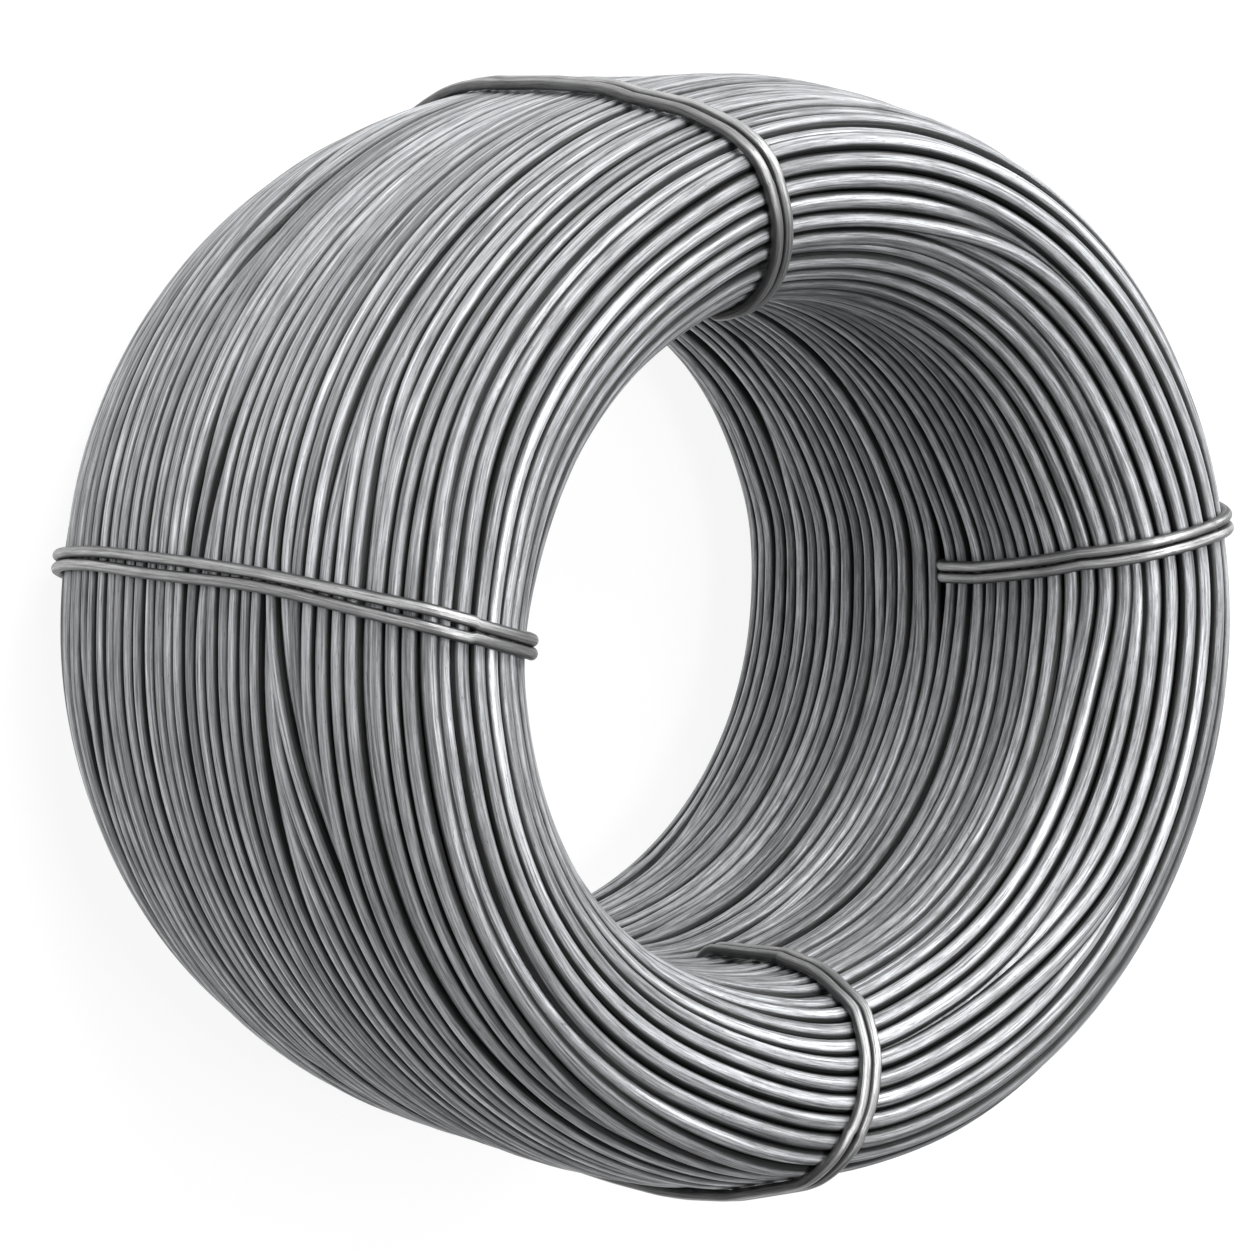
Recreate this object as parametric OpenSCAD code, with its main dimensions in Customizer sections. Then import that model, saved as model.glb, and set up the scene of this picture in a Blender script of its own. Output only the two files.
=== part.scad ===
// Coil of smooth steel wire rod, wound in turns about an upright axis and held by four doubled wire ties.

/* [Rod] */
// Diameter of the wire rod
rod_d = 10; // [8:0.5:14]
// Least gap between neighbouring turns
turn_gap = 0.4; // [0.2:0.1:1]

/* [Winding] */
// Outside diameter over the turns
outer_d = 610; // [500:5:740]
// Diameter of the bore, inside the turns
bore_d = 370; // [300:5:400]
// Width of the winding along its axis
width = 375; // [310:5:460]
// Length of the straight middle of the outside, between the crowned ends
flat_len = 117; // [90:1:140]
// Radius that rounds the outer rim into the end
rim_r = 28; // [20:1:34]
// Radius that flares the bore into the end
flare_r = 72; // [60:1:76]

/* [Ties] */
// Diameter of the tie wire
tie_d = 6.5; // [6:0.5:10]
// Gap between the two strands of a tie
strand_gap = 0.6; // [0.4:0.1:2]
// Clearance between a tie and the winding
seat = 0.3; // [0.2:0.1:0.6]
// Angle of the flare, from the bore wall, at which a tie starts to sink in among the turns
dive_angle = 40; // [36:1:50]
// Angle of each tie round the axis, anticlockwise from above, in the bore
bore_angles = [182, 109, 14, -79];
// Angle of each tie over the middle of the outside
outer_angles = [177, 112, 17.5, -92];

/* [Hidden] */
$fn = 96;

rod_r = rod_d / 2;
tie_r = tie_d / 2;
outer_r = outer_d / 2;
bore_r = bore_d / 2;
half_w = width / 2;
flat_half = flat_len / 2;

// The outline of the winding is arcs and lines, drawn over the crests of its turns.
// Along it, a crown arc falls from the straight outside to the rim arc, which ends at the
// widest point of the end. The flare arc leads from there into the bore.
crest_r = bore_r + flare_r;
crown_drop = outer_r - crest_r - rim_r;
crown_len = half_w - flat_half - rim_r;
crown_r = (crown_drop ^ 2 + crown_len ^ 2) / (2 * crown_drop) + rim_r;
crown_angle = asin(crown_len / (crown_r - rim_r));

crown_c = [outer_r - crown_r, flat_half];
rim_c = [crest_r, half_w - rim_r];
flare_c = [crest_r, half_w - flare_r];

// A direction in the section plane, turned from straight out towards the end
function toward(angle) = [cos(angle), sin(angle)];

// Lengths of the stretches of the outline, at a depth below the crests
function crown_arc(depth) = (crown_r - depth) * crown_angle * PI / 180;
function rim_arc(depth) = (rim_r - depth) * (90 - crown_angle) * PI / 180;
function flare_arc(depth) = (flare_r - depth) * PI / 2;

// The point that lies s along one half of the outline from its middle, at a depth below the crests
function outline(s, depth) =
    let (a = flat_half, b = a + crown_arc(depth), c = b + rim_arc(depth))
    s <= a ? [outer_r - depth, s]
    : s <= b ? crown_c + (crown_r - depth) * toward((s - a) / (crown_r - depth) * 180 / PI)
    : s <= c ? rim_c + (rim_r - depth) * toward(crown_angle + (s - b) / (rim_r - depth) * 180 / PI)
    : flare_c + (flare_r - depth) * toward(90 + (s - c) / (flare_r - depth) * 180 / PI);

// The turns that show run from the middle of the outside to the end of the flare. The last
// one stands a quarter of a step before the bore wall, so that it merges into it.
turn_run = flat_half + crown_arc(rod_r) + rim_arc(rod_r) + flare_arc(rod_r);
turns_half = floor(turn_run / (rod_d + turn_gap));
turn_step = turn_run / (turns_half - 0.25);

// The body under the turns fills the grooves between them to this depth below the crests
groove = rod_r * 0.7;

// Half of the section, without its turns
module half_body() {
    steps = 60;
    run = flat_half + crown_arc(groove) + rim_arc(groove) + flare_arc(groove);
    polygon(concat([[crest_r, 0]], [for (i = [0 : steps]) outline(run * i / steps, groove)]));
    // the smooth wall of the bore
    translate([bore_r, 0]) square([flare_r + rod_r, flare_c[1]]);
}

// Half of the section, with a round crest for each turn
module half_section() {
    half_body();
    for (i = [0 : turns_half - 1]) translate(outline((i + 0.5) * turn_step, rod_r)) circle(rod_r);
}

module section() {
    half_section();
    mirror([0, 1]) half_section();
}

// A tie follows the outline at this height above the crests
tie_lift = tie_r + seat;
// In the bore it lies in among the innermost turns, flush with their crests
sunk_r = bore_r + tie_lift;
dive_r = (crest_r - sunk_r - (flare_r + tie_lift) * cos(dive_angle)) / (1 - cos(dive_angle));
dive_c = flare_c + (flare_r + tie_lift - dive_r) * toward(180 - dive_angle);

// What a slot takes away over one tie, from the bore to where the tie surfaces
module slot_shape() {
    bed = dive_r - tie_lift;
    far = flare_r * 1.5;
    mouth = dive_c + far * toward(180 - dive_angle);
    difference() {
        polygon([[bore_r / 2, -mouth[1]], [mouth[0], -mouth[1]], [dive_c[0], -dive_c[1]],
            dive_c, mouth, [bore_r / 2, mouth[1]]]);
        translate(dive_c) circle(bed);
        translate([dive_c[0], -dive_c[1]]) circle(bed);
        translate([dive_c[0] - bed, -dive_c[1]]) square([bed * 2, 2 * dive_c[1]]);
    }
}

strand_pitch = tie_d + strand_gap;
slot_w = strand_pitch + tie_d + 2 * seat;

// How far the coil and its ties reach from the axis in a direction
function reach(heading) = max(concat([outer_r], [
    for (angle = outer_angles, side = [-1, 1])
        (outer_r + tie_lift) * cos(angle - heading) + side * strand_pitch / 2 * sin(angle - heading) + tie_r]));

// Stands the coil, drawn about the middle of its axis, on its end, over the middle of the floor
module standing() {
    translate([reach(180) - reach(0), reach(-90) - reach(90), width + 2 * (tie_lift + tie_r)] / 2) children();
}

// Puts a shape drawn in the section plane at an angle round the axis
module at_angle(angle) {
    rotate([0, 0, angle]) rotate([90, 0, 0]) children();
}

module rod_coil() {
    color("silver")
    standing() difference() {
        rotate_extrude() section();
        for (angle = bore_angles) at_angle(angle)
            linear_extrude(slot_w, center = true) slot_shape();
    }
}

// Points along a bend about a centre, between two directions, without its first. Its chords
// cut inside the true arc by at most half of the clearance.
function bend(centre, radius, from, to) =
    let (steps = ceil((to - from) / (2 * acos(1 - seat / 2 / radius))))
    [for (i = [1 : steps]) centre + radius * toward(from + (to - from) * i / steps)];

// The route of a strand, from the middle of the outside over the end to the middle of the bore
half_route = concat(
    [[outer_r + tie_lift, 0], [outer_r + tie_lift, flat_half]],
    bend(crown_c, crown_r + tie_lift, 0, crown_angle),
    bend(rim_c, rim_r + tie_lift, crown_angle, 90),
    bend(flare_c, flare_r + tie_lift, 90, 180 - dive_angle),
    bend(dive_c, dive_r, 180 - dive_angle, 180),
    [[sunk_r, 0]]);
last = len(half_route) - 1;
route = concat(half_route, [for (i = [last - 1 : -1 : 1]) [half_route[i][0], -half_route[i][1]]]);

// A tie slants from its angle in the bore to its angle outside, in step with its distance
// from the axis beyond the point where it surfaces
surface_r = crest_r - (flare_r + tie_lift) * cos(dive_angle);
function slant(r) = max(0, (r - surface_r) / (outer_r + tie_lift - surface_r));

// One strand, a round wire along the closed route, to one side of the middle of its tie
module strand(side, bore_angle, outer_angle) {
    sides = 10;
    rings = len(route);
    points = [
        for (i = [0 : rings - 1])
            let (
                ahead = route[(i + 1) % rings] - route[(i + rings - 1) % rings],
                out = [ahead[1], -ahead[0]] / norm(ahead),
                angle = bore_angle + (outer_angle - bore_angle) * slant(route[i][0])
            )
            for (j = [0 : sides - 1])
                let (
                    bearing = toward(360 * j / sides),
                    at = route[i] + tie_r * bearing[0] * out,
                    across = side * strand_pitch / 2 - tie_r * bearing[1]
                )
                [at[0] * cos(angle) - across * sin(angle), at[0] * sin(angle) + across * cos(angle), at[1]]
    ];
    faces = [
        for (i = [0 : rings - 1], j = [0 : sides - 1])
            let (next = (i + 1) % rings, beside = (j + 1) % sides)
            [i * sides + j, i * sides + beside, next * sides + beside, next * sides + j]
    ];
    polyhedron(points, faces);
}

module tie(bore_angle, outer_angle) {
    color("dimgray")
    standing() for (side = [-1, 1]) strand(side, bore_angle, outer_angle);
}

rod_coil();
tie(bore_angles[0], outer_angles[0]);  // tie_1
tie(bore_angles[1], outer_angles[1]);  // tie_2
tie(bore_angles[2], outer_angles[2]);  // tie_3
tie(bore_angles[3], outer_angles[3]);  // tie_4
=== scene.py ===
from collections import namedtuple
from math import asin, cos, pi, radians, sin

import bpy
import numpy as np
from mathutils import Matrix, Vector


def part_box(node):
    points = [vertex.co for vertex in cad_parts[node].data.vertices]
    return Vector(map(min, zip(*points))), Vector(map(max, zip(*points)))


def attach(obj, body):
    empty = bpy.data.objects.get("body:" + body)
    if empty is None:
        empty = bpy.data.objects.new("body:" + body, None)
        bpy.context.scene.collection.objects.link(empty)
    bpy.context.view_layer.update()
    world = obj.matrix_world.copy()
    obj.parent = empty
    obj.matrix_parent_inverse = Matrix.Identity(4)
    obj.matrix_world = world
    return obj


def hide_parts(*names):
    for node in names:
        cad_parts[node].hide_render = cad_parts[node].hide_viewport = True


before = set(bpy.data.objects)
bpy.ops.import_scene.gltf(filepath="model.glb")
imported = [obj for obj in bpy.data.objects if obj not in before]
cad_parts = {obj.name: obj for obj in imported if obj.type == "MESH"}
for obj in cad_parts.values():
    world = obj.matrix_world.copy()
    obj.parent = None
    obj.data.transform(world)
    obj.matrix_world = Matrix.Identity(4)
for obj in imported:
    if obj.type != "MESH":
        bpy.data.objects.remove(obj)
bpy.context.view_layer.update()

# ---------------------------------------------------------------- sizes, in millimetres
ROD_R = 5.0
OUTER_R, BORE_R, WIDTH = 305.0, 185.0, 375.0
FLAT_HALF, RIM_R, FLARE_R = 58.5, 28.0, 72.0
# a turn's middling distance from the axis, for its length and for small steps round the coil
MEAN_R = 250.0
TIE_R, TIE_PITCH = 3.2, 6.8
# each tie: its angle in the bore, how many degrees it strays at heights there, its angle over the
# outside at heights, and the height at which it passes in between the turns in the bore, seen from
# the upper end
Tie = namedtuple("Tie", "bore stray outside dive")
TIES = {
    "tie_1": Tie(182.0, ((0, 0), (150, 0)), ((-180, 177), (180, 177)), 40),
    "tie_2": Tie(109.0, ((0, 0), (150, 0)),
                 ((-180, 103), (-50, 108), (0, 108.5), (60, 110.5), (100, 112)), 106),
    "tie_3": Tie(17.0, ((-120, 0), (30, -4.8), (72, -3.8), (127, -1.1), (150, 0)),
                 ((-180, 17.5), (180, 17.5)), 29),
    "tie_4": Tie(-79.0, ((-120, 0), (30, -1), (87, 3.6), (149, 0)), ((-180, -92), (180, -92)), 24),
}
# at the lower end a tie passes in where the flare is nearest to the bore wall's line at this height
LOWER_DIVE = -240
# along the bore, a tie sinks in over this length, and the turns part for it by this much
DIVE_LENGTH, DIVE_GAP = 12, 5
# the distances from the axis between which a tie slants from one angle to the other
SLANT_FROM, SLANT_TO = 198.5, 309.3

low, high = (Vector(c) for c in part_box("rod_coil"))
CENTRE = (low + high) / 2

rng = np.random.default_rng(11)

# ---------------------------------------------------------------- the outline of the section
CREST_R = BORE_R + FLARE_R
drop, run = OUTER_R - CREST_R - RIM_R, WIDTH / 2 - FLAT_HALF - RIM_R
CROWN_R = (drop**2 + run**2) / (2 * drop) + RIM_R
CROWN = asin(run / (CROWN_R - RIM_R))


class Outline:
    """The closed outline of the section at a depth below the crests, measured by arc length."""

    def __init__(self, depth):
        step = 0.5
        points, normals = [], []

        def line(a, b, n):
            count = max(2, int(np.hypot(b[0] - a[0], b[1] - a[1]) / step))
            for q in np.linspace(0, 1, count, endpoint=False):
                points.append((a[0] + q * (b[0] - a[0]), a[1] + q * (b[1] - a[1])))
                normals.append(n)

        def arc(c, r, start, end):
            count = max(2, int(abs(end - start) * r / step))
            for a in np.linspace(start, end, count, endpoint=False):
                points.append((c[0] + r * cos(a), c[1] + r * sin(a)))
                normals.append((cos(a), sin(a)))

        h = WIDTH / 2
        line((OUTER_R - depth, 0), (OUTER_R - depth, FLAT_HALF), (1, 0))
        arc((OUTER_R - CROWN_R, FLAT_HALF), CROWN_R - depth, 0, CROWN)
        arc((CREST_R, h - RIM_R), RIM_R - depth, CROWN, pi / 2)
        arc((CREST_R, h - FLARE_R), FLARE_R - depth, pi / 2, pi)
        line((BORE_R + depth, h - FLARE_R), (BORE_R + depth, -h + FLARE_R), (-1, 0))
        arc((CREST_R, -h + FLARE_R), FLARE_R - depth, pi, 1.5 * pi)
        arc((CREST_R, -h + RIM_R), RIM_R - depth, 1.5 * pi, 2 * pi - CROWN)
        arc((OUTER_R - CROWN_R, -FLAT_HALF), CROWN_R - depth, -CROWN, 0)
        line((OUTER_R - depth, -FLAT_HALF), (OUTER_R - depth, 0), (1, 0))
        self.p = np.array(points + points[:1])
        self.n = np.array(normals + normals[:1])
        self.s = np.concatenate([[0], np.cumsum(np.linalg.norm(np.diff(self.p, axis=0), axis=1))])
        self.length = self.s[-1]

    def at(self, s, sink):
        """(r, z) of the point s along the outline, sunk inwards, and the bearing of its normal."""
        s = np.mod(s, self.length)
        p = [np.interp(s, self.s, self.p[:, k]) for k in (0, 1)]
        n = [np.interp(s, self.s, self.n[:, k]) for k in (0, 1)]
        size = np.hypot(*n)
        return p[0] - sink * n[0] / size, p[1] - sink * n[1] / size, np.arctan2(n[1], n[0])

    def where(self, r, z):
        """How far along the outline the point nearest to (r, z) is."""
        return self.s[np.argmin(np.hypot(self.p[:, 0] - r, self.p[:, 1] - z))]


# ---------------------------------------------------------------- smooth noise and steps
def unit(v):
    return v / np.linalg.norm(v, axis=-1, keepdims=True)


def waves(turns, samples, lowest, highest):
    """Smooth noise along the rod, which closes on itself, with from lowest to highest waves in a turn."""
    count = turns * samples
    spectrum = np.zeros(count // 2 + 1, complex)
    band = slice(int(lowest * turns), int(highest * turns) + 1)
    size = band.stop - band.start
    spectrum[band] = rng.normal(size=size) + 1j * rng.normal(size=size)
    out = np.fft.irfft(spectrum, count)
    return out / out.std()


def ease(x):
    x = np.clip(x, 0, 1)
    return x * x * x * (x * (6 * x - 15) + 10)


# ---------------------------------------------------------------- the lay of the turns
# the share of its width that a fully sunk turn shows
SLIVER = 0.04
# how far apart touching turns lie, in rod diameters
TIGHT = 1.002
# by how many turns a hole moves, each time that it moves in one circuit
MOVES = ([2, -3], [-3, 2], [3, -4], [-4, 3], [2, -5, 2], [-2, 3, -2])
# the three holes that let a turn cross over: their moves, where the later ones start and how long
# they take, as shares of a circuit, and how many degrees apart they pass under the turn
CROSSING_HOLES = (([2, -3], [0.78]), ([4, -2, -3], [0.6, 0.88]), ([6, -3, -4], [0.52, 0.72]))
CROSSING_SPANS = [0.07, 0.1, 0.12]
CROSSING_STEP = 9
# the spreads, in degrees, of a gap that the turns leave for a tie, and of the dent that it pulls in
GAP_SPREAD, DENT_SPREAD = 9, 7
DENT_DEPTH, UNEVEN_DEPTH = 1.3, 0.45


def sink_turns(turns, samples, holes, crossing=None):
    """How much of its width each point of the rod shows, where some turns have sunk between others.

    A hole is a sunk turn. Round the coil it moves from one turn to another, and over a whole
    circuit it goes back by one turn, because the rod is a single spiral. Where three holes pass
    from one side of a turn to the other, that turn crosses over three more.
    """
    count = turns * samples
    along = np.arange(samples) / samples
    width = np.ones(count)

    def with_hole(begin, least, moves, starts, spans):
        trial = width.copy()
        row, amount = 0, np.ones(samples)
        for move, start, span in zip(moves, starts, spans):
            rise = ease((along - start) / span + 0.5)
            trial[(begin + row * samples + np.arange(samples)) % count] -= (1 - least) * amount * (1 - rise)
            row, amount = row + move, amount * rise
        trial[(begin + row * samples + np.arange(samples)) % count] -= (1 - least) * amount
        return trial

    if crossing:
        turn, angle = crossing
        for k, (moves, later) in enumerate(CROSSING_HOLES):
            starts = [(angle + CROSSING_STEP * k) / 360 - 0.25, *later]
            width = with_hole((turn - 1 - k) * samples + samples // 4, SLIVER, moves, starts, CROSSING_SPANS)
    for k, least in enumerate(holes):
        for _ in range(300):
            moves = MOVES[rng.integers(len(MOVES))]
            begin = int((k + rng.uniform(-0.3, 0.3)) * count / len(holes))
            starts = np.sort(rng.uniform(0.12, 0.88, len(moves)))
            if np.diff(starts).min() < 0.2:
                continue
            trial = with_hole(begin, least, moves, starts, rng.uniform(0.07, 0.15, len(moves)))
            changed = trial < width - 1e-9
            crowded = trial + np.roll(trial, -samples) < 1.02
            if not (crowded & (changed | np.roll(changed, -samples))).any():
                width = trial
                break
    return width


def wind(turns, samples, holes, path, gaps=(), crossing=None):
    """Where each turn lies: the share of its width that shows, its place along the outline, and the
    place of each gap, where the turns part for something. A gap is (angle, place, width)."""
    share = sink_turns(turns, samples, holes, crossing).reshape(turns, samples)
    loose = np.exp(0.4 * waves(turns, samples, 1.5, 5)).reshape(turns, samples) * share
    free = path.length - (share * 2 * ROD_R * TIGHT).sum(0)
    step = np.arange(samples) / samples

    def lay(parted):
        room = share * 2 * ROD_R * TIGHT + loose * (free - parted.sum(0)) / loose.sum(0)
        return room, room[0, 0] * step + np.cumsum(room + parted, 0) - parted - room / 2

    parted = np.zeros((turns, samples))
    room, place = lay(parted)
    found = []
    for angle, spot, width in gaps:
        column = int(angle / 360 * samples) % samples
        row = int((place[:, column] < spot).sum()) - 1
        off = (step * 360 - angle + 180) % 360 - 180
        parted[row] += width * np.exp(-(off / GAP_SPREAD) ** 2)
        found.append((row, column))
    room, place = lay(parted)
    return share, place, [(place + room / 2 + parted / 2)[at] for at in found]


def sink_depth(share, place, length, ties=()):
    """How deep each turn lies, so that sunk turns rest under their neighbours."""
    turns, samples = share.shape
    depth = UNEVEN_DEPTH * waves(turns, samples, 1, 4).reshape(turns, samples)
    step = np.arange(samples) * 360 / samples
    for angle in ties:
        off = (step - angle + 180) % 360 - 180
        depth = depth + DENT_DEPTH * np.exp(-((off / DENT_SPREAD) ** 2))
    surface = depth.copy()
    left = place - np.vstack([place[-1:] - length, place[:-1]])
    right = np.vstack([place[1:], place[:1] + length]) - place
    sunk = 2 * ROD_R * (1 - share) ** 2
    for way, apart in ((1, left), (-1, right)):
        rest = np.roll(surface, way, 0) + np.sqrt(np.maximum(0, (2 * ROD_R) ** 2 - apart**2))
        sunk = np.maximum(sunk, rest * np.roll(share, way, 0))
    under = ease((0.995 - share) / 0.03)
    return surface + 0.7 * np.maximum(sunk - surface, 0) * under


def soften(field, reach):
    """Smooths a field along the rod, over reach samples to each side."""
    flat = field.reshape(-1)
    kernel = np.hanning(2 * reach + 3)[1:-1]
    kernel /= kernel.sum()
    padded = np.concatenate([flat[-reach:], flat, flat[:reach]])
    return np.convolve(padded, kernel, "valid").reshape(field.shape)


# ---------------------------------------------------------------- meshes
def mesh_piece(name, verts, faces, uvs, replaced, material):
    mesh = bpy.data.meshes.new(name)
    mesh.vertices.add(len(verts))
    mesh.vertices.foreach_set("co", np.asarray(verts, np.float32).ravel())
    mesh.loops.add(faces.size)
    mesh.loops.foreach_set("vertex_index", faces.ravel().astype(np.int32))
    mesh.polygons.add(len(faces))
    mesh.polygons.foreach_set("loop_start", np.arange(0, faces.size, faces.shape[1], dtype=np.int32))
    mesh.update(calc_edges=True)
    layer = mesh.uv_layers.new(name="along")
    layer.data.foreach_set("uv", np.asarray(uvs, np.float32).ravel())
    mesh.polygons.foreach_set("use_smooth", np.ones(len(faces), bool))
    mesh.validate()
    obj = bpy.data.objects.new(name, mesh)
    bpy.context.scene.collection.objects.link(obj)
    obj.data.materials.append(material)
    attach(obj, "root")
    for node in replaced:
        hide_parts(node)


def place_mm(r, angle, z):
    """World points, in metres, from a radius and height in millimetres and an angle round the axis."""
    return np.stack([
        CENTRE.x + r * np.cos(angle) / 1000,
        CENTRE.y + r * np.sin(angle) / 1000,
        CENTRE.z + z / 1000,
    ], -1)


def round_v(j, sides):
    """The map's place round a tube: the seam at 0.02 and 0.98, and the point opposite at 0.5."""
    return 0.02 + 0.96 * j / sides


def corner_map(*corners):
    """The map of a grid of faces, from the (u, v) of each of their four corners in turn."""
    return np.stack([np.stack(c, -1) for c in corners], -2).reshape(-1, 2)


def rod_pieces(name, r, z, facing, parts, sides, replaced, material):
    """Tubes along turns of the rod, split by turn into parts. r and z are by turn and angle step."""
    turns, samples = r.shape
    flat_r, flat_z, flat_facing = r.reshape(-1), z.reshape(-1), np.unwrap(facing.reshape(-1))
    around = np.arange(sides) / sides * 2 * pi
    for part, rows in parts.items():
        verts, faces, uvs = [], [], []
        for k in rows:
            index = (k * samples + np.arange(samples + 1)) % (turns * samples)
            inward = np.unwrap(flat_facing[index]) + pi
            angle = np.arange(samples + 1) / samples * 2 * pi
            # the seam of each tube lies inwards, where it doesn't show
            beta = inward[:, None] + around[None, :]
            ring_r = flat_r[index][:, None] + ROD_R * np.cos(beta)
            ring_z = flat_z[index][:, None] + ROD_R * np.sin(beta)
            base = len(verts) * (samples + 1) * sides
            verts.append(place_mm(ring_r, angle[:, None], ring_z).reshape(-1, 3))
            i, j = np.meshgrid(np.arange(samples), np.arange(sides), indexing="ij")
            n = (j + 1) % sides
            quad = np.stack([i * sides + j, (i + 1) * sides + j, (i + 1) * sides + n, i * sides + n], -1)
            faces.append(base + quad.reshape(-1, 4))
            u0 = (k + i / samples) * 2 * pi * MEAN_R / 1000
            u1 = (k + (i + 1) / samples) * 2 * pi * MEAN_R / 1000
            v0, v1 = round_v(j, sides), round_v(j + 1, sides)
            uvs.append(corner_map((u0, v0), (u1, v0), (u1, v1), (u0, v1)))
        mesh_piece(f"{name}_{part}", np.concatenate(verts), np.concatenate(faces), np.concatenate(uvs),
                   replaced, material)


# ---------------------------------------------------------------- materials
def steel(name, colour, metal, roughness, contrast, flank_shade):
    """Bare steel rod. Its map runs along the rod in metres, and once round it from 0 to 1, with 0.5
    at the crest, so that streaks, drawn lines and scratches follow the rod."""
    mat = bpy.data.materials.new(name)
    mat.use_nodes = True
    nodes, links = mat.node_tree.nodes, mat.node_tree.links
    nodes.clear()
    out = nodes.new("ShaderNodeOutputMaterial")
    bsdf = nodes.new("ShaderNodeBsdfPrincipled")
    bsdf.inputs["Metallic"].default_value = metal
    links.new(bsdf.outputs[0], out.inputs[0])
    uv = nodes.new("ShaderNodeUVMap")
    uv.uv_map = "along"

    def noise(scale, detail, offset=0.0, rough=0.5):
        stretch = nodes.new("ShaderNodeMapping")
        stretch.inputs["Scale"].default_value = (scale[0], scale[1], 1)
        stretch.inputs["Location"].default_value = (offset, offset * 1.7, 0)
        links.new(uv.outputs[0], stretch.inputs[0])
        tex = nodes.new("ShaderNodeTexNoise")
        tex.inputs["Scale"].default_value = 1
        tex.inputs["Detail"].default_value = detail
        tex.inputs["Roughness"].default_value = rough
        links.new(stretch.outputs[0], tex.inputs[0])
        return tex.outputs[0]

    def ramp(source, low, high, a, b, smooth=False):
        node = nodes.new("ShaderNodeMapRange")
        if smooth:
            node.interpolation_type = "SMOOTHSTEP"
        node.inputs["From Min"].default_value = low
        node.inputs["From Max"].default_value = high
        node.inputs["To Min"].default_value = a
        node.inputs["To Max"].default_value = b
        links.new(source, node.inputs[0])
        return node.outputs[0]

    def maths(operation, a, b):
        node = nodes.new("ShaderNodeMath")
        node.operation = operation
        for socket, value in zip(node.inputs, (a, b)):
            if isinstance(value, (int, float)):
                socket.default_value = value
            else:
                links.new(value, socket)
        return node.outputs[0]

    streaks = noise((45, 31), 3, 0.0, 0.62)
    lines = noise((7, 15), 2, 3.1)
    bands = noise((2.5, 3.6), 1, 9.4)
    pits = noise((300, 60), 1, 7.7)
    dashes = noise((60, 44), 1, 4.2)
    turns = noise((0.6, 0.5), 1, 5.3)

    level = maths("MULTIPLY", ramp(streaks, 0.3, 0.7, 1 - 0.34 * contrast, 1 + 0.2 * contrast),
                  ramp(lines, 0.32, 0.68, 1 - 0.3 * contrast, 1 + 0.16 * contrast))
    level = maths("MULTIPLY", level, ramp(bands, 0.35, 0.65, 1 - 0.2 * contrast, 1 + 0.12 * contrast))
    level = maths("MULTIPLY", level, ramp(turns, 0.3, 0.7, 1 - 0.16 * contrast, 1 + 0.1 * contrast))
    level = maths("MULTIPLY", level, ramp(pits, 0.27, 0.33, 0.5, 1))
    level = maths("MULTIPLY", level, ramp(dashes, 0.69, 0.74, 1, 1.35))

    # painted shade in the grooves between the turns: each rod's colour darkens low on its flanks, away from
    # the crest, where the turns shade each other
    split = nodes.new("ShaderNodeSeparateXYZ")
    links.new(uv.outputs[0], split.inputs[0])
    side = maths("ABSOLUTE", maths("SUBTRACT", split.outputs[1], 0.5), 0)
    side = maths("ADD", side, ramp(lines, 0.3, 0.7, -0.022, 0.022))
    level = maths("MULTIPLY", level, ramp(side, 0.08, 0.16, 1, flank_shade, True))

    tint = nodes.new("ShaderNodeCombineColor")
    for k in range(3):
        links.new(maths("MULTIPLY", level, colour[k]), tint.inputs[k])
    links.new(tint.outputs[0], bsdf.inputs["Base Color"])
    links.new(ramp(streaks, 0.3, 0.7, roughness + 0.09, roughness - 0.07), bsdf.inputs["Roughness"])

    height = maths("ADD", maths("MULTIPLY", ramp(pits, 0.26, 0.36, 0, 1), 0.5), streaks)
    height = maths("ADD", height, maths("MULTIPLY", lines, 1.5))
    bump = nodes.new("ShaderNodeBump")
    bump.inputs["Strength"].default_value = 0.5
    bump.inputs["Distance"].default_value = 0.0007
    links.new(height, bump.inputs["Height"])
    links.new(bump.outputs[0], bsdf.inputs["Normal"])
    return mat


# the last figure sets how dark the flanks of each rod are painted, as painted shade between the turns
rod_steel = steel("rod_steel", (0.43, 0.438, 0.453), 0.5, 0.5, 1.8, 0.06)
# the turns under the first layer and the core are painted nearly black: painted shade deep between the turns
painted_shade_steel = steel("painted_shade_steel", (0.035, 0.035, 0.035), 0.5, 0.6, 1.0, 0.3)
tie_steel = steel("tie_steel", (0.38, 0.38, 0.382), 0.75, 0.38, 1.4, 0.3)

# ---------------------------------------------------------------- the coil
TURNS, SAMPLES = 92, 192
path = Outline(ROD_R)
holes = list(rng.permutation([SLIVER] * 5 + [0.36, 0.42, 0.46, 0.5, 0.5, 0.55, 0.58, 0.62, 0.45]))
gaps = [(t.bore + np.interp(dive, *zip(*t.stray)), path.where(BORE_R + ROD_R, dive), DIVE_GAP)
        for t in TIES.values() for dive in (t.dive, LOWER_DIVE)]
share, place, dives = wind(TURNS, SAMPLES, holes, path, gaps=gaps, crossing=(9, 184))
depth = soften(sink_depth(share, place, path.length, ties=[t.bore for t in TIES.values()]), 4)
even = (np.arange(TURNS)[:, None] + np.arange(SAMPLES)[None, :] / SAMPLES) * path.length / TURNS
place = soften(place - even, 3) + even
r, z, facing = path.at(place, depth)
quarter = TURNS // 4
parts = {
    "outside_upper": range(0, quarter),
    "end_upper": range(quarter, 2 * quarter),
    "bore": range(2 * quarter, 3 * quarter),
    "outside_lower": range(3 * quarter, TURNS),
}
rod_pieces("rod_turns", r, z, facing, parts, 12, ["rod_coil"], rod_steel)

# a second layer of turns, painted nearly black as painted shade in the gaps between the turns that show
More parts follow.
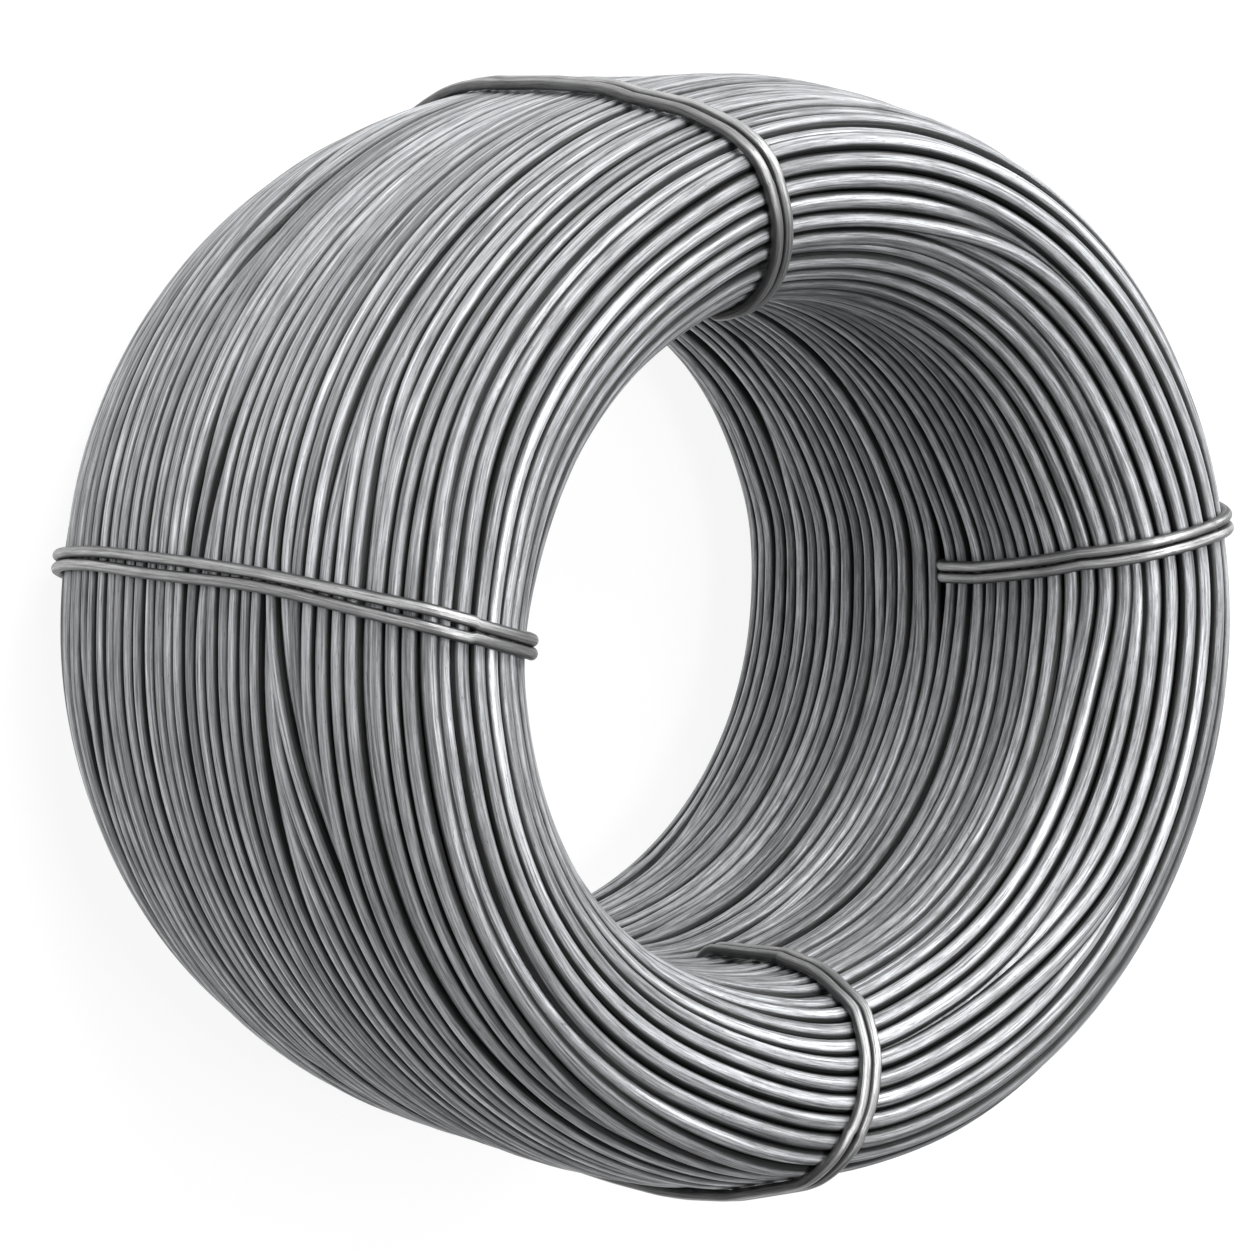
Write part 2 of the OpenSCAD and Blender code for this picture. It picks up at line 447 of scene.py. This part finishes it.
inner = Outline(3 * ROD_R + 0.5)
TURNS_2, SAMPLES_2 = int(inner.length / (2 * ROD_R + 0.6)), 96
share_2, place_2, _ = wind(TURNS_2, SAMPLES_2, [], inner)
r2, z2, facing_2 = inner.at(place_2, 0.4 * waves(TURNS_2, SAMPLES_2, 1, 3).reshape(TURNS_2, SAMPLES_2))
rod_pieces("rod_turns_under", r2, z2, facing_2, {"layer": range(TURNS_2)}, 8, ["rod_coil"], painted_shade_steel)


def core():
    """A body under the turns that show, in place of those further in, painted nearly black as painted shade.
    """
    ring = Outline(4 * ROD_R)
    pts = ring.p[:-1][::12]
    count, around = len(pts), 64
    angle = np.arange(around) / around * 2 * pi
    height = pts[:, 1][:, None] * np.ones((1, around))
    verts = place_mm(pts[:, 0][:, None], angle[None, :], height).reshape(-1, 3)
    i, j = np.meshgrid(np.arange(count), np.arange(around), indexing="ij")
    a, b = (i + 1) % count, (j + 1) % around
    faces = np.stack([i * around + j, i * around + b, a * around + b, a * around + j], -1).reshape(-1, 4)
    uvs = np.zeros((len(faces) * 4, 2))
    mesh_piece("rod_turns_core", verts, faces, uvs, ["rod_coil"], painted_shade_steel)


core()


# ---------------------------------------------------------------- the ties
def hull(points):
    """The convex hull of points in the section plane, anticlockwise."""
    pts = sorted(map(tuple, points))

    def half(seq):
        out = []
        for p in seq:
            while len(out) > 1 and (out[-1][0] - out[-2][0]) * (p[1] - out[-2][1]) \
                    - (out[-1][1] - out[-2][1]) * (p[0] - out[-2][0]) <= 0:
                out.pop()
            out.append(p)
        return out[:-1]

    return np.array(half(pts) + half(pts[::-1]))


def tie_angle(data, pr, pz):
    """The angle, in radians, of a tie where it passes a radius and a height."""
    slant = np.clip((pr - SLANT_FROM) / (SLANT_TO - SLANT_FROM), 0, 1)
    bore = data.bore + np.interp(pz, *zip(*data.stray))
    outside = np.interp(pz, *zip(*data.outside))
    return np.radians((1 - slant) * bore + slant * outside)


def tie_path(data, upper, lower):
    """(r, z) of a tie pulled tight round the turns, sunk in between them in the bore from the
    height upper down to lower."""
    beta = np.arange(40) / 40 * 2 * pi
    reach = ROD_R + TIE_R + 0.1
    points = []
    for away in (-TIE_PITCH / 2, TIE_PITCH / 2):
        column = tie_angle(data, r[:, 0], z[:, 0])
        for _ in range(2):
            at = np.degrees(column + away / MEAN_R) / 360 * SAMPLES % SAMPLES
            k, q = at.astype(int), at % 1
            rows = np.arange(TURNS)
            cr = r[rows, k % SAMPLES] * (1 - q) + r[rows, (k + 1) % SAMPLES] * q
            cz = z[rows, k % SAMPLES] * (1 - q) + z[rows, (k + 1) % SAMPLES] * q
            column = tie_angle(data, cr, cz)
        points.append(np.stack([(cr[:, None] + reach * np.cos(beta)).ravel(),
                                (cz[:, None] + reach * np.sin(beta)).ravel()], -1))
    loop = hull(np.concatenate(points))
    loop = np.vstack([loop, loop[:1]])
    seg = np.concatenate([[0], np.cumsum(np.linalg.norm(np.diff(loop, axis=0), axis=1))])
    even = np.linspace(0, seg[-1], 420, endpoint=False)
    at = np.stack([np.interp(even, seg, loop[:, k]) for k in (0, 1)], -1)
    half = DIVE_LENGTH / 2
    within = (at[:, 0] < CREST_R - 15) * ease((upper + half - at[:, 1]) / DIVE_LENGTH) \
        * ease((at[:, 1] - lower + half) / DIVE_LENGTH)
    ahead = unit(np.roll(at, -3, 0) - np.roll(at, 3, 0))
    outward = np.stack([ahead[:, 1], -ahead[:, 0]], -1)
    at = at + outward * (0.3 - within * (2 * ROD_R + 2 * TIE_R + 0.6))[:, None]
    kernel = np.hanning(13)[1:-1]
    kernel /= kernel.sum()
    return np.stack([np.convolve(np.concatenate([v[-5:], v, v[:5]]), kernel, "valid") for v in at.T], -1)


def tie(name, data, upper, lower):
    """A tie of two strands side by side."""
    loop = tie_path(data, upper, lower)
    count, sides = len(loop), 14
    angle = tie_angle(data, loop[:, 0], loop[:, 1])
    ahead = unit(np.roll(loop, -1, 0) - np.roll(loop, 1, 0))
    outward = np.stack([ahead[:, 1] * np.cos(angle), ahead[:, 1] * np.sin(angle), -ahead[:, 0]], -1)
    middle = np.stack([loop[:, 0] * np.cos(angle), loop[:, 0] * np.sin(angle), loop[:, 1]], -1)
    along = unit(np.roll(middle, -1, 0) - np.roll(middle, 1, 0))
    across = unit(np.cross(along, outward))
    outward = np.cross(across, along)
    q = np.arange(count) / count * 2 * pi
    wobble = rng.uniform(0, 2 * pi, 4)
    beta = np.arange(sides) / sides * 2 * pi
    verts, faces, uvs = [], [], []
    for strand, side in enumerate((-1, 1)):
        away = 0.5 * np.sin(3 * q + wobble[0]) + 0.35 * np.sin(5 * q + wobble[1]) \
            + side * (TIE_PITCH / 2 + 0.45 * (1 + np.sin(4 * q + wobble[2])) * (loop[:, 0] > CREST_R))
        spine = middle + away[:, None] * across
        ring = spine[:, None] + TIE_R * (
            -np.cos(beta)[None, :, None] * outward[:, None] + np.sin(beta)[None, :, None] * across[:, None])
        verts.append(np.array(CENTRE) + ring.reshape(-1, 3) / 1000)
        i, j = np.meshgrid(np.arange(count), np.arange(sides), indexing="ij")
        m, n = (i + 1) % count, (j + 1) % sides
        quad = np.stack([i * sides + j, i * sides + n, m * sides + n, m * sides + j], -1)
        faces.append(strand * count * sides + quad.reshape(-1, 4))
        length = np.linalg.norm(np.roll(spine, -1, 0) - spine, axis=1).sum() / 1000
        u0, u1 = (strand + i / count) * length, (strand + (i + 1) / count) * length
        v0, v1 = round_v(j, sides), round_v(j + 1, sides)
        uvs.append(corner_map((u0, v0), (u0, v1), (u1, v1), (u1, v0)))
    mesh_piece(f"{name}_wire", np.concatenate(verts), np.concatenate(faces), np.concatenate(uvs), [name],
               tie_steel)


for index, (name, data) in enumerate(TIES.items()):
    spots = [path.at(dives[2 * index + k], 0)[1] for k in (0, 1)]
    tie(name, data, *spots)

# ---------------------------------------------------------------- floor, light and camera
floor_mesh = bpy.data.meshes.new("floor")
floor_mesh.from_pydata([(-6, -6, 0), (6, -6, 0), (6, 6, 0), (-6, 6, 0)], [], [(0, 1, 2, 3)])
floor = bpy.data.objects.new("floor", floor_mesh)
bpy.context.scene.collection.objects.link(floor)
pale = bpy.data.materials.new("pale_floor")
pale.use_nodes = True
shader = pale.node_tree.nodes["Principled BSDF"]
shader.inputs["Base Color"].default_value = (0.1, 0.1, 0.1, 1)
shader.inputs["Roughness"].default_value = 0.8
shader.inputs["Emission Color"].default_value = (1, 1, 1, 1)
shader.inputs["Emission Strength"].default_value = 0.9
floor_mesh.materials.append(pale)

# The photo's directions: its right, its up, and out towards the viewer along the axis of the coil
RIGHT, UP, FRONT = Vector((1, 0, 0)), Vector((0, 1, 0)), Vector((0, 0, 1))

# a soft light all round, brighter from the photo's top than from its bottom
world = bpy.data.worlds.new("studio")
world.use_nodes = True
nodes, links = world.node_tree.nodes, world.node_tree.links
toward = nodes.new("ShaderNodeTexCoord")
fall = nodes.new("ShaderNodeVectorMath")
fall.operation = "DOT_PRODUCT"
fall.inputs[1].default_value = (UP * 0.94 - RIGHT * 0.34).normalized()
links.new(toward.outputs["Generated"], fall.inputs[0])
strength = nodes.new("ShaderNodeMapRange")
strength.inputs["From Min"].default_value = -0.9
strength.inputs["From Max"].default_value = 0.9
strength.inputs["To Min"].default_value = 0.1
strength.inputs["To Max"].default_value = 0.4
links.new(fall.outputs["Value"], strength.inputs[0])
links.new(strength.outputs[0], nodes["Background"].inputs["Strength"])
nodes["Background"].inputs["Color"].default_value = (1, 1, 1, 1)
bpy.context.scene.world = world
bpy.context.scene.view_settings.view_transform = "Standard"


def area_light(name, offset, size, power):
    data = bpy.data.lights.new(name, "AREA")
    data.shape = "DISK"
    data.size = size
    data.energy = power
    lamp = bpy.data.objects.new(name, data)
    bpy.context.scene.collection.objects.link(lamp)
    lamp.location = CENTRE + offset
    lamp.rotation_euler = offset.to_track_quat("Z", "Y").to_euler()
    lamp.visible_camera = False


area_light("key", UP * 1.9 - RIGHT * 0.5 + FRONT * 1.85, 1.7, 90)
area_light("right", UP * 1.7 + RIGHT * 1.6 + FRONT * 1.5, 1.3, 55)
area_light("front", FRONT * 2.8, 1.3, 58)
area_light("left", UP * 0.9 - RIGHT * 2.4 + FRONT * 0.3, 1.6, 22)

# The camera looks at the upper end from one side of the axis, turned so that +Y is up in the picture
AROUND, LIFT, ROLL = radians(37.69), radians(2.53), radians(4.64)
DISTANCE = 2.519
toward_camera = -RIGHT * sin(AROUND) * cos(LIFT) + UP * sin(LIFT) + FRONT * cos(AROUND) * cos(LIFT)
spot = CENTRE + toward_camera * DISTANCE
side = (-toward_camera).cross(UP).normalized()
top = side.cross(-toward_camera)
aim = CENTRE - 0.0129 * side - 0.0035 * top
ahead = (aim - spot).normalized()
side = ahead.cross(UP).normalized()
top = side.cross(ahead)
side, top = side * cos(ROLL) + top * sin(ROLL), top * cos(ROLL) - side * sin(ROLL)
camera_data = bpy.data.cameras.new("camera")
camera_data.lens = 128.7
camera = bpy.data.objects.new("camera", camera_data)
camera.matrix_world = Matrix((
    (side.x, top.x, -ahead.x, spot.x),
    (side.y, top.y, -ahead.y, spot.y),
    (side.z, top.z, -ahead.z, spot.z),
    (0, 0, 0, 1),
))
bpy.context.scene.collection.objects.link(camera)
bpy.context.scene.camera = camera
